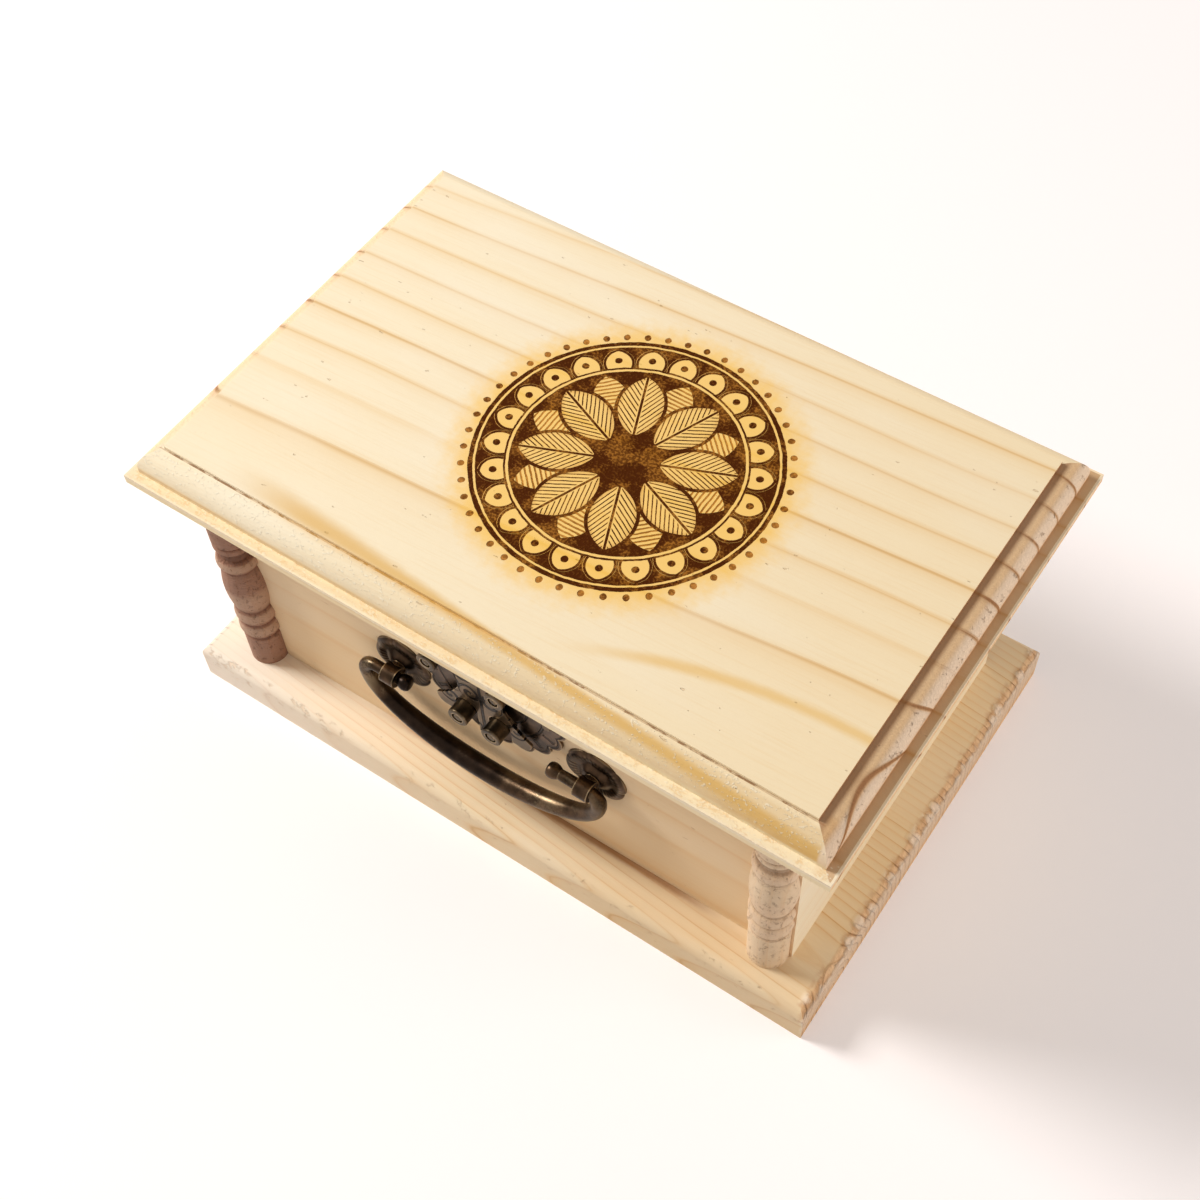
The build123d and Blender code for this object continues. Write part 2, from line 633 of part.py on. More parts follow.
for word, side in (("left", -1), ("right", 1)):
    nodes["hinge_wall_leaf_" + word] = hinge_wall_leaf(side)
    nodes["hinge_lid_leaf_" + word] = hinge_lid_leaf(side)
    nodes["hinge_pin_" + word] = hinge_pin(side)

for name, shape in nodes.items():
    export_step(shape, "parts/" + name + ".step")
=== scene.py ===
"""Pine keepsake box: camera, light, wood and bronze finishes, burnt design, finer fittings."""
import math
import bmesh
import bpy
from mathutils import Matrix, Vector


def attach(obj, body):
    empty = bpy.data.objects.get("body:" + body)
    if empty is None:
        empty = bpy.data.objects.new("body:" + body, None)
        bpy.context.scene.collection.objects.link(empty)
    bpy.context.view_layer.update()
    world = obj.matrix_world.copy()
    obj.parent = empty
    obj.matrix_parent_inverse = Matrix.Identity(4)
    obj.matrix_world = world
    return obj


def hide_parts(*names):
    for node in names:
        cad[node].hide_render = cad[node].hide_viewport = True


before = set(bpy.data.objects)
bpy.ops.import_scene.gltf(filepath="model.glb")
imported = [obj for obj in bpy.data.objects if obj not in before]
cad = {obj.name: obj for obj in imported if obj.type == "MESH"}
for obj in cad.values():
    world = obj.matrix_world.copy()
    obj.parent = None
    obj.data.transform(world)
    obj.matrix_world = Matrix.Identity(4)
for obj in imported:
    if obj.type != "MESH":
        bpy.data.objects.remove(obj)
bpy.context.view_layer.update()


# ---------------------------------------------------------------- camera, floor and light

def set_camera():
    right = Vector((0.82292523, 0.56684524, -0.03847775))
    down = Vector((0.45076950, -0.69263329, -0.56308612))
    forward = Vector((-0.34583366, 0.44603317, -0.82550196))
    lens = bpy.data.cameras.new("camera")
    lens.sensor_width = 36.0
    lens.lens = 51.8666
    lens.shift_x = 0.003475
    lens.shift_y = 0.006148
    lens.clip_start = 0.01
    camera = bpy.data.objects.new("camera", lens)
    bpy.context.scene.collection.objects.link(camera)
    turn = Matrix((right, -down, -forward)).transposed()
    camera.matrix_world = Matrix.Translation((0.17307870, -0.23201952, 0.46036991)) @ turn.to_4x4()
    bpy.context.scene.camera = camera


def add_lamp(name, place, target, size, power, colour):
    light = bpy.data.lights.new(name, "AREA")
    light.shape = "DISK"
    light.size = size
    light.energy = power
    light.color = colour
    lamp = bpy.data.objects.new(name, light)
    bpy.context.scene.collection.objects.link(lamp)
    lamp.location = place
    lamp.rotation_euler = (Vector(target) - Vector(place)).to_track_quat("-Z", "Y").to_euler()


# ---------------------------------------------------------------- shader values

class Shade:
    """A socket of a material's nodes; arithmetic on it adds Math nodes."""

    def __init__(self, tree, socket=None):
        self.tree = tree
        self.socket = socket

    def node(self, kind, settings=None, sockets=None, output=0):
        """Adds a node: its settings first, then the values or links of its sockets."""
        made = self.tree.nodes.new("ShaderNode" + kind)
        for name, value in (settings or {}).items():
            if name == "stops":
                stops = made.color_ramp.elements
                stops[0].position, stops[1].position = value[0][0], value[-1][0]
                for place, _ in value[1:-1]:
                    stops.new(place)
                for stop, (_, colour) in zip(stops, value):
                    stop.color = (*colour, 1.0)
            else:
                setattr(made, name, value)
        for name, value in (sockets or {}).items():
            if isinstance(value, Shade):
                self.tree.links.new(value.socket, made.inputs[name])
            else:
                made.inputs[name].default_value = value
        return Shade(self.tree, made.outputs[output])

    def math(self, operation, *others):
        return self.node("Math", {"operation": operation}, dict(enumerate((self,) + others)))

    def __add__(self, other):
        return self.math("ADD", other)

    def __radd__(self, other):
        return self.math("ADD", other)

    def __sub__(self, other):
        return self.math("SUBTRACT", other)

    def __rsub__(self, other):
        return self.math("MULTIPLY_ADD", -1.0, other)

    def __mul__(self, other):
        return self.math("MULTIPLY", other)

    def __rmul__(self, other):
        return self.math("MULTIPLY", other)

    def __truediv__(self, other):
        return self.math("DIVIDE", other)

    def __pow__(self, other):
        return self.math("POWER", other)

    def __abs__(self):
        return self.math("ABSOLUTE")


def rise(value, start, end):
    """0 below start, 1 above end, smooth between."""
    return value.node("MapRange", {"interpolation_type": "SMOOTHSTEP"}, {
        "Value": value, "From Min": start, "From Max": end, "To Min": 0.0, "To Max": 1.0})


def fall(value, start, end):
    """1 below start, 0 above end, smooth between."""
    return value.node("MapRange", {"interpolation_type": "SMOOTHSTEP"}, {
        "Value": value, "From Min": start, "From Max": end, "To Min": 1.0, "To Max": 0.0})


def band(value, start, full, last_full, end):
    """0 outside start and end, 1 from full to last_full, smooth between."""
    return rise(value, start, full) * fall(value, last_full, end)


def line(distance, half_width, soft=0.12):
    """A line of that half width where distance is 0."""
    return fall(abs(distance), half_width, half_width + soft)


def length(one, two):
    return (one * one + two * two) ** 0.5


def most(*values):
    """The largest of several values."""
    result = values[0]
    for value in values[1:]:
        result = result.math("MAXIMUM", value)
    return result


def mix(start, amount, one, two, blend="MIX"):
    """Colour one turned into colour two by that amount."""
    settings = {"data_type": "RGBA", "blend_type": blend}
    return start.node("Mix", settings, {0: amount, 6: one, 7: two}, 2)


def scaled(vector, factors):
    return vector.node("VectorMath", {"operation": "MULTIPLY"}, {0: vector, 1: factors})


def noise(vector, factors, detail=2.0, roughness=0.5):
    """Noise with that many cells to a unit along each axis."""
    return vector.node("TexNoise", {"noise_dimensions": "3D"}, {
        "Vector": scaled(vector, factors), "Scale": 1.0, "Detail": detail, "Roughness": roughness})


def axes(vector):
    """The three parts of a vector."""
    return [vector.node("SeparateXYZ", None, {0: vector}, output) for output in range(3)]


def spot(start):
    """A point's place in metres, and its parts in mm: across, deep and up."""
    place = start.node("TexCoord", output=3)
    return place, *axes(scaled(place, (1000.0, 1000.0, 1000.0)))


def bump(height, distance):
    return height.node("Bump", None, {"Height": height, "Distance": distance, "Strength": 1.0})


def tone(red, green, blue):
    """A colour written in screen values from 0 to 255, as the linear colour that shaders use."""
    linear = []
    for part in (red, green, blue):
        part /= 255
        linear.append(part / 12.92 if part <= 0.04045 else ((part + 0.055) / 1.055) ** 2.4)
    return (*linear, 1.0)


def new_finish(name, **values):
    """A material, a start for its nodes, and a way to feed its surface."""
    material = bpy.data.materials.new(name)
    material.use_nodes = True
    tree = material.node_tree
    surface = tree.nodes["Principled BSDF"]
    for socket, value in values.items():
        surface.inputs[socket.replace("_", " ")].default_value = value

    def feed(socket, value):
        tree.links.new(value.socket, surface.inputs[socket])
    return material, Shade(tree), feed


def dress(piece, material):
    piece.data.materials.clear()
    piece.data.materials.append(material)


# ---------------------------------------------------------------- floor

def lay_floor():
    """A pale table top that shows white to the camera and keeps a soft shadow."""
    mesh = bpy.data.meshes.new("table_top")
    shape = bmesh.new()
    bmesh.ops.create_grid(shape, x_segments=1, y_segments=1, size=3.0)
    shape.to_mesh(mesh)
    shape.free()
    floor = bpy.data.objects.new("table_top", mesh)
    bpy.context.scene.collection.objects.link(floor)
    material = bpy.data.materials.new("pale table top")
    material.use_nodes = True
    tree = material.node_tree
    tree.nodes.clear()
    start = Shade(tree)
    seen = start.node("LightPath")
    paint = start.node("BsdfDiffuse", None, {"Color": (0.84, 0.79, 0.77, 1.0)})
    glow = start.node("Emission", None, {"Color": (1.0, 0.97, 0.985, 1.0), "Strength": seen * 0.26})
    both = start.node("AddShader", None, {0: paint, 1: glow})
    surface = tree.nodes.new("ShaderNodeOutputMaterial")
    tree.links.new(both.socket, surface.inputs["Surface"])
    floor.data.materials.append(material)


def set_world():
    world = bpy.data.worlds.new("white room")
    bpy.context.scene.world = world
    world.use_nodes = True
    tree = world.node_tree
    start = Shade(tree)
    sky = tree.nodes["Background"]
    direct = start.node("LightPath")
    glossy = start.node("LightPath", output=3)
    through = start.node("LightPath", output=6)
    tint = mix(start, direct, (1.0, 0.93, 0.89, 1.0), (1.0, 1.0, 1.0, 1.0))
    tree.links.new(tint.socket, sky.inputs["Color"])
    strength = 0.35 + 0.65 * most(direct, glossy * 0.4, through)
    tree.links.new(strength.socket, sky.inputs["Strength"])


# ---------------------------------------------------------------- wood

EARLY_WOOD = tone(252, 237, 205)
LATE_WOOD = tone(240, 202, 142)
RING_LINE = tone(206, 164, 108)
PALE_WOOD = tone(253, 243, 220)
END_WOOD = tone(250, 215, 172)
END_LINE = tone(156, 98, 58)


def grown_wood(start, centre, turn, ring, sway, phase):
    """Growth rings round a pith through centre: the log's axes in mm, and each point's age."""
    place = start.node("TexCoord", output=3)
    log = start.node("Mapping", {"vector_type": "TEXTURE"}, {
        "Vector": place, "Location": centre, "Rotation": turn, "Scale": (0.001, 0.001, 0.001)})
    _, across, up = axes(log)
    slow = noise(log, (0.009, 0.022, 0.022), detail=1.0) - 0.5
    quick = noise(log, (0.03, 0.10, 0.10), detail=2.0) - 0.5
    radius = length(across, up) + slow * sway + quick * (sway * 0.12)
    return log, radius / ring + phase


def late_wood(age):
    """The share of late wood: it grows slowly through the year and ends sharply."""
    season = age.math("FRACT")
    ramp = season.node("ValToRGB", {"stops": [
        (0.0, (0.40, 0.40, 0.40)), (0.05, (0.04, 0.04, 0.04)), (0.40, (0.0, 0.0, 0.0)),
        (0.70, (0.20, 0.20, 0.20)), (0.86, (0.50, 0.50, 0.50)), (0.93, (1.0, 1.0, 1.0)),
        (1.0, (0.40, 0.40, 0.40))]}, {"Fac": season})
    depth = age.node("TexWhiteNoise", {"noise_dimensions": "1D"}, {"W": (age + 0.03).math("FLOOR")})
    return ramp * (0.45 + 0.55 * depth)


def pine(name, centre, turn, ring, sway, phase=0.0, dark=1.0, ends=0.92, gloss=0.15, tint=None,
         extra=None):
    """Bare pine with its fibres along the log's X: rings, fibres, a few pits and rougher end grain.

    The log's pith runs through centre in m, turned by turn. Its rings are ring mm apart and sway by
    sway mm. Dark and ends are the strengths of late wood and of end grain.
    """
    material, start, feed = new_finish(name, Specular_IOR_Level=gloss)
    log, age = grown_wood(start, centre, turn, ring, sway, phase)
    late = late_wood(age) * dark
    fibre = noise(log, (0.04, 1.7, 1.7), detail=3.0, roughness=0.6)
    cloud = noise(log, (0.014, 0.045, 0.045), detail=2.0)
    sheen = noise(log, (0.25, 0.9, 0.9), detail=2.0)
    colour = mix(start, late * 0.85, EARLY_WOOD, LATE_WOOD)
    colour = mix(start, rise(late, 0.5, 1.0) * 0.50, colour, RING_LINE)
    colour = mix(start, rise(fibre, 0.45, 0.75) * 0.16, colour, LATE_WOOD)
    colour = mix(start, rise(cloud, 0.45, 0.70) * 0.45, colour, PALE_WOOD)
    pits = rise(noise(log, (0.30, 0.75, 0.75), detail=2.0), 0.745, 0.775)
    colour = mix(start, pits * 0.30, colour, tone(196, 150, 98))
    facing = axes(start.node("TexCoord", output=1))
    grain_axis = 1 if abs(turn[2]) > 1.0 else 2 if abs(turn[1]) > 1.0 else 0
    end = rise(abs(facing[grain_axis]), 0.08, 0.5)
    speck = noise(log, (0.7, 1.1, 1.1), detail=3.0, roughness=0.65)
    end_colour = mix(start, rise(late, 0.20, 0.60) * 0.35, END_WOOD, END_LINE)
    end_colour = mix(start, rise(late, 0.55, 0.80) * 0.75, end_colour, END_LINE)
    end_colour = mix(start, rise(speck, 0.60, 0.75) * 0.22, end_colour, END_LINE)
    colour = mix(start, end * ends, colour, end_colour)
    height = fibre * 0.16 + sheen * 0.3 + late * 0.2 - pits * 0.7 + end * (speck * 2.0 + late * 1.5)
    if tint:
        colour = mix(start, 1.0, colour, (*tint, 1.0), "MULTIPLY")
    if extra:
        colour, height = extra(start, colour, height, late)
    feed("Base Color", colour)
    feed("Roughness", 0.56 + 0.14 * fibre)
    feed("Normal", bump(height, 0.00025))
    return material


# The lid in mm: the tops of its ledge and ovolo, the ovolo's inner line in front, the right end of
# the raised field, the mitre between them (across less deep), and half the board's length and width
LEDGE_TOP = 99.2
OVOLO_TOP = 107.0
OVOLO_LINE = -62.0
FIELD_END = 100.8
MITRE = 39.0
LID_HALF_LENGTH = 110.0
LID_HALF_WIDTH = 71.0


def moulded_edges(start, colour, height, late):
    """The lid's cut edges, torn at the field's step and the ledge, with painted shade and painted
    light on the mouldings.
    """
    place, across, deep, up = spot(start)
    torn = noise(place, (260.0, 520.0, 520.0), detail=4.0, roughness=0.7)
    lint = noise(place, (1100.0, 1500.0, 1500.0), detail=2.0)
    chips = rise(torn, 0.46, 0.58)
    front = fall(deep, OVOLO_LINE + 2.0, OVOLO_LINE + 4.0)
    right = rise(across, FIELD_END + 3.2, FIELD_END + 4.2)
    on_side = rise(across - abs(deep), MITRE - 0.2, MITRE + 0.1)
    on_front = 1.0 - on_side
    beyond = most(abs(across) - (LID_HALF_LENGTH - 0.7), abs(deep) - (LID_HALF_WIDTH - 0.7))
    arris = rise(beyond, 0.0, 0.3)

    # Warmer to the right, and painted warm shade on the front ovolo
    warm = rise(across, -60.0, 110.0)
    colour = mix(start, warm * 0.65, colour, (0.97, 0.90, 0.78, 1.0), "MULTIPLY")
    painted_front_shade = front * band(up, LEDGE_TOP + 1.2, LEDGE_TOP + 2.8, OVOLO_TOP - 0.3, OVOLO_TOP)
    painted_front_shade = painted_front_shade * rise(across, -70.0, 50.0)
    colour = mix(start, painted_front_shade * 0.6, colour, (0.88, 0.77, 0.62, 1.0), "MULTIPLY")

    # Painted shade in the hollow over the right ledge, the torn step up to the field with painted
    # shade, and painted light on the front face of the ledge
    hollow = right * band(up, LEDGE_TOP - 0.5, LEDGE_TOP - 0.25, LEDGE_TOP + 0.4, LEDGE_TOP + 1.3)
    colour = mix(start, hollow * fall(arris, 0.1, 0.3) * 0.55, colour, tone(186, 128, 72))
    step = fall(abs(deep - OVOLO_LINE), 0.14, 0.32)
    step = step * band(up, OVOLO_TOP - 0.4, OVOLO_TOP - 0.1, OVOLO_TOP + 0.3, OVOLO_TOP + 0.7)
    colour = mix(start, step * (0.35 + 0.50 * chips), colour, tone(140, 92, 46))
    brow = fall(deep, 0.4 - LID_HALF_WIDTH, 0.8 - LID_HALF_WIDTH)
    brow = brow * fall(up, LEDGE_TOP - 0.2, LEDGE_TOP + 0.1)
    colour = mix(start, brow * 0.55, colour, tone(255, 234, 190))
    colour = golden_streaks(start, colour, torn, on_front)

    # The front ledge and the ovolo's foot lightened as painted light, with warm patches, torn
    # specks and fuzz
    shelf = band(up, LEDGE_TOP - 0.3, LEDGE_TOP - 0.1, LEDGE_TOP + 0.2, LEDGE_TOP + 2.0)
    shelf = shelf * front * on_front
    colour = mix(start, shelf * 0.75, colour, tone(255, 240, 204))
    patches = shelf * rise(torn + lint * 0.3, 0.62, 0.76)
    colour = mix(start, patches * 0.45, colour, tone(230, 184, 112))
    specks = band(up, LEDGE_TOP + 1.8, LEDGE_TOP + 3.8, OVOLO_TOP - 0.05, OVOLO_TOP)
    specks = specks * front * on_front * rise(lint + torn * 0.5, 0.84, 0.92)
    colour = mix(start, specks * 0.45, colour, tone(255, 246, 222))
    foot = fall(deep, -64.0, -62.0) * fall(up, LEDGE_TOP + 0.2, LEDGE_TOP + 3.3)
    foot = foot * rise(up, LEDGE_TOP - 0.8, LEDGE_TOP - 0.4) * fall(across, 0.0, 110.0)
    colour = mix(start, foot * 0.20, colour, tone(236, 206, 150))
    fuzz = fall(deep, -66.0, -64.5) * fall(up, LEDGE_TOP + 0.2, LEDGE_TOP + 1.8)
    fuzz = fuzz * rise(up, LEDGE_TOP - 2.0, LEDGE_TOP - 1.0) * rise(lint + torn * 0.6, 0.84, 0.98)
    colour = mix(start, fuzz * 0.55, colour, tone(255, 246, 220))

    # The right end: a painted highlight on the ovolo's crown with torn pocks, a painted shadow
    # beside the field's step, painted shade on the ledge, which is also darker end grain, and a
    # painted highlight on the arris
    crown = right * band(up, LEDGE_TOP + 0.4, LEDGE_TOP + 1.8, OVOLO_TOP - 2.4, OVOLO_TOP - 0.4)
    colour = mix(start, crown * fall(late, 0.35, 0.65) * 0.55, colour, tone(255, 240, 222))
    pocks = right * band(up, LEDGE_TOP + 1.3, LEDGE_TOP + 2.8, OVOLO_TOP - 2.0, OVOLO_TOP - 0.5)
    pocks = pocks * rise(torn, 0.60, 0.66)
    colour = mix(start, pocks * 0.4, colour, tone(214, 172, 134))
    painted_step_shadow = band(across, FIELD_END - 0.2, FIELD_END, FIELD_END + 1.2, FIELD_END + 3.0)
    painted_step_shadow = painted_step_shadow * rise(up, OVOLO_TOP - 3.0, OVOLO_TOP - 2.0)
    painted_step_shadow = painted_step_shadow * fall(up, OVOLO_TOP + 0.8, OVOLO_TOP + 1.1) * on_side
    colour = mix(start, painted_step_shadow * 0.70, colour, tone(156, 98, 54))
    ledge = right * band(up, LEDGE_TOP - 0.5, LEDGE_TOP - 0.25, LEDGE_TOP - 0.15, LEDGE_TOP)
    colour = mix(start, ledge * (0.50 + 0.35 * chips), colour, tone(150, 94, 50))
    arris = arris * band(up, LEDGE_TOP - 1.6, LEDGE_TOP - 0.8, LEDGE_TOP - 0.1, LEDGE_TOP + 0.2)
    colour = mix(start, arris * 0.7, colour, tone(255, 240, 212))
    return colour, height - pocks * 1.5 + fuzz * 0.15 + specks * 0.3


def golden_streaks(start, colour, torn, on_front):
    """Two resin-gold growth lines: one along the front ovolo's top, one in the field's corner."""
    place, across, deep, up = spot(start)
    uneven = noise(place, (22.0, 90.0, 90.0), detail=3.0)
    widened = 1.0 + fall(across, -70.0, 20.0) * 1.6
    low_streak = abs(deep + across * 0.053 + (torn * 0.8 + 61.8)) / widened
    low_streak = fall(low_streak + uneven, 0.8, 2.7) * rise(across, -85.0, -50.0)
    low_streak = low_streak * rise(up, LEDGE_TOP + 0.2, LEDGE_TOP + 1.8) * on_front
    high_streak = abs(deep + (100.0 - across) ** 2.0 * 0.0031 + (torn * 0.8 + 37.4))
    high_streak = fall(high_streak + uneven * 1.4, 1.0, 3.6) * rise(across, 20.0, 50.0)
    high_streak = high_streak * rise(up, OVOLO_TOP + 0.3, OVOLO_TOP + 0.8)
    colour = mix(start, low_streak * 0.72, colour, tone(226, 178, 88))
    return mix(start, high_streak * 0.60, colour, tone(236, 190, 102))


# The base's top and right end in mm, and the depth of the front wall's face
BASE_TOP = 14.0
BASE_END = 108.5
WALL_FRONT = -57.0


def torn_base(start, colour, height, late):
    """The base board: its right end torn in scallops with painted shade round the lumps, nicks in
    front, a dark line along the wall's foot.
    """
    place, across, deep, up = spot(start)
    torn = noise(place, (300.0, 420.0, 420.0), detail=4.0, roughness=0.7)
    colour = mix(start, fall(across, -120.0, 10.0) * 0.70, colour, tone(255, 246, 234))
    nicks = fall(deep, -69.0, -68.0) * rise(up, BASE_TOP - 9.0, BASE_TOP - 5.0)
    nicks = nicks * rise(torn + fall(across, -90.0, -10.0) * 0.05, 0.60, 0.68)
    colour = mix(start, nicks * 0.4, colour, tone(240, 206, 168))
    # Darker and warmer in front of the wall towards the right
    right_front_darkening = fall(deep, WALL_FRONT - 3.0, WALL_FRONT - 0.5) * rise(across, 0.0, 60.0)
    colour = mix(start, right_front_darkening * 0.8, colour, (0.87, 0.82, 0.74, 1.0), "MULTIPLY")
    wall_foot_line = fall(abs(deep + (0.6 - WALL_FRONT - torn * 0.8)), 0.7, 2.6)
    wall_foot_line = wall_foot_line * rise(up, BASE_TOP - 0.4, BASE_TOP - 0.1)
    wall_foot_line = wall_foot_line * band(across, -60.0, -10.0, 56.0, 78.0)
    colour = mix(start, wall_foot_line * 0.75, colour, tone(164, 104, 48))

    chip = start.node("TexVoronoi", {"feature": "F1"}, {
        "Vector": scaled(place, (150.0, 210.0, 190.0)), "Scale": 1.0, "Randomness": 0.75})
    chip = chip + (torn - 0.5) * 0.5
    edge = band(across, BASE_END - 4.3, BASE_END - 2.5, BASE_END - 0.3, BASE_END + 0.2)
    edge = edge * rise(up, BASE_TOP - 5.5, BASE_TOP - 2.5)
    # Pale lumps along the torn end, with painted shade round them
    lump = edge * fall(chip, 0.26, 0.52)
    rim = edge * band(chip, 0.36, 0.50, 0.52, 0.70)
    rough = rise(across + (torn - 0.5) * 2.0, BASE_END - 0.9, BASE_END - 0.1) * rise(up, 2.0, 6.0)
    colour = mix(start, lump * 0.65, colour, tone(253, 236, 216))
    colour = mix(start, rim * 0.45, colour, tone(208, 156, 110))
    colour = mix(start, rough * 0.50, colour, tone(250, 234, 214))
    colour = mix(start, rough * rise(torn, 0.50, 0.66) * 0.35, colour, tone(206, 160, 120))
    return colour, height + rough * torn * 4.0 + lump * 1.4 - nicks * 0.8


# The columns' axes in mm, the middles of their beads and of the barrel's lower half, and how much
# higher the right column's turning sits
COLUMN_AXIS = (90.0, -58.3)
LOW_BEADS = (31.4, 38.1)
TOP_BEAD = 64.0
BARREL_LOW = 46.5
RIGHT_COLUMN_LIFT = 5.0


def turned_grooves(start, colour, height, late):
    """Grooves of the turned columns with painted shade and dirt, torn by the gouge, with painted
    highlights on the beads.
    """
    place, across, deep, up = spot(start)
    radius = length(abs(across) - COLUMN_AXIS[0], deep - COLUMN_AXIS[1])
    torn = noise(place, (900.0, 900.0, 500.0), detail=3.0, roughness=0.7)
    marks = noise(place, (60.0, 60.0, 2600.0), detail=1.0)
    # Painted shade and dirt in the grooves
    groove_shade_and_dirt = fall(radius + (torn - 0.5) * 0.7, 5.25, 6.0)
    colour = mix(start, groove_shade_and_dirt * 0.8, colour, (0.50, 0.43, 0.40, 1.0), "MULTIPLY")
    # Painted highlights on the beads' outer faces and on the barrel's lower half
    lift = up - rise(across, -1.0, 1.0) * RIGHT_COLUMN_LIFT
    beads = most(*(fall(abs(lift - bead), 1.4, 2.8) for bead in LOW_BEADS),
                 fall(abs(lift - TOP_BEAD), 1.2, 2.6))
    wear_and_highlight = most(beads * rise(radius, 5.8, 6.2), fall(abs(lift - BARREL_LOW), 2.5, 6.5) * 0.9)
    colour = mix(start, wear_and_highlight * 0.33, colour, tone(240, 208, 178))
    pores = rise(torn, 0.56, 0.68)
    colour = mix(start, pores * 0.50, colour, (0.62, 0.54, 0.48, 1.0), "MULTIPLY")
    return colour, height + marks * 1.2 - pores * 0.9


# ---------------------------------------------------------------- burnt design on the lid

# The flower's middle on the lid, in mm. Radii below are in mm from there.
MEDALLION = (6.0, 1.0)


def petals(radius, angle, count, start, end, half_width, turn=0.0):
    """Distance to the rims of a ring of petals, negative inside, and places along and across."""
    part = 2 * math.pi / count
    local = (((angle + (turn + 8 * math.pi)) / part).math("FRACT") - 0.5) * part
    along = radius * local.math("COSINE")
    across = abs(radius * local.math("SINE"))
    half_length = (end - start) / 2
    bow = (half_length ** 2 + half_width ** 2) / (2 * half_width)
    rim = length(along - (start + end) / 2, across + (bow - half_width)) - bow
    return rim, along, across


def burnt_medallion(start, colour, height, late):
    """A round flower of leaves and arches, burnt brown with an amber scorch round it."""
    colour, height = moulded_edges(start, colour, height, late)
    place, across, deep, up = spot(start)
    across = across - MEDALLION[0]
    deep = deep - MEDALLION[1]
    wander = noise(place, (420.0, 420.0, 420.0), detail=2.0) - 0.5
    radius = length(across, deep) + wander * 0.5
    angle = deep.math("ARCTAN2", across)
    top = rise(up, OVOLO_TOP, OVOLO_TOP + 0.6)

    rings = most(line(radius - 8.6, 0.35), line(radius - 30.6, 0.45), line(radius - 32.2, 0.2),
                 line(radius - 39.6, 0.25), line(radius - 41.2, 0.55))

    leaf, leaf_along, leaf_across = petals(radius, angle, 8, 8.0, 30.0, 6.6)
    leaf_inside = fall(leaf, -0.6, -0.3)
    veins = ((leaf_along - leaf_across * 1.3) / 1.9).math("FRACT")
    veins = fall(abs(veins - 0.5), 0.08, 0.17) * rise(leaf_across, 0.5, 0.9) * leaf_inside
    midrib = fall(leaf_across, 0.25, 0.4) * leaf_inside
    shaded = leaf_inside * rise(leaf, -2.6, -0.6)
    back_leaf, back_along, _ = petals(radius, angle, 8, 12.0, 30.4, 5.4, math.pi / 8)
    behind = rise(leaf, 0.2, 0.5)
    back_inside = fall(back_leaf, -0.5, -0.2) * behind
    back_hatch = fall(abs((back_along / 1.3).math("FRACT") - 0.5), 0.12, 0.24) * back_inside
    ground = fall(radius, 30.0, 30.3) * behind * rise(back_leaf, 0.1, 0.4)

    arch, arch_along, arch_across = petals(radius, angle, 24, 29.5, 39.0, 3.9)
    arch_ring = band(radius, 32.3, 32.6, 39.3, 39.6)
    arch_line = line(arch, 0.28) * arch_ring
    arch_fill = arch_ring * rise(arch, 0.3, 0.6)
    seed = fall(length(arch_along - 35.2, arch_across), 0.9, 1.1)

    heart, _, _ = petals(radius, angle, 12, 2.6, 8.3, 1.05)
    heart_fill = fall(radius, 8.2, 8.5) * rise(heart, 0.0, 0.25) * rise(radius, 2.6, 2.8)
    bead, _, _ = petals(radius, angle, 48, 42.6, 44.6, 0.9)
    beads = fall(bead, -0.1, 0.1)

    stipple = noise(place, (1500.0, 1500.0, 1500.0), detail=2.0)
    dark_parts = most(rings, line(leaf, 0.42), veins, midrib, line(back_leaf, 0.3) * behind,
                      arch_line, seed, back_hatch * 0.68, ground, arch_fill, heart_fill,
                      beads * 0.8, fall(radius, 1.5, 1.8), shaded * 0.28)
    burnt = dark_parts * top
    depth = noise(place, (150.0, 150.0, 150.0), detail=2.0)
    burnt = burnt * (0.66 + 0.16 * rise(stipple, 0.35, 0.6) + 0.18 * rise(depth, 0.40, 0.60))

    glow = fall(radius + wander * 6.0, 40.0, 52.0) * 0.76
    near = most(fall(abs(radius - 41.2), 0.5, 6.5) * 0.60, fall(abs(leaf), 0.3, 3.2) * 0.75,
                fall(abs(radius - 31.4), 0.4, 4.0) * 0.70, back_inside * 0.75, leaf_inside * 0.60)
    scorch = most(glow, near * fall(radius, 45.0, 48.0)) * top
    colour = mix(start, scorch, colour, tone(252, 200, 80))
    colour = mix(start, rise(burnt, 0.08, 0.55) * 0.85, colour, tone(188, 112, 14))
    colour = mix(start, rise(burnt, 0.46, 0.92) * 0.97, colour, tone(68, 24, 0))
    return colour, height - burnt * 1.6


# ---------------------------------------------------------------- metal

# Measures of the fittings in mm: the handle's middle across, half the spacing of its eyes and its
# height, the bail's middle and the depth of its pins, and the hasp's and the latch plate's middles
HANDLE = (1.1, 32.7, 54.8)
BAIL_MIDDLE = HANDLE[0] - 2.7
BAIL_DEPTH = -62.5
HASP_MIDDLE = -1.2
HASP_TOP = 83.4
PLATE_MIDDLE = (0.4, 69.0)
RUBBED_BRASS = tone(214, 190, 150)


def worn_edges(start, radius, low_limit, high_limit):
    """Where an edge or rim turns within that radius in metres."""
    rounded = start.node("Bevel", {"samples": 6}, {"Radius": radius})
    straight = start.node("NewGeometry", output=1)
    alike = rounded.node("VectorMath", {"operation": "DOT_PRODUCT"}, {0: rounded, 1: straight}, 1)
    return rise(1.0 - alike, low_limit, high_limit)


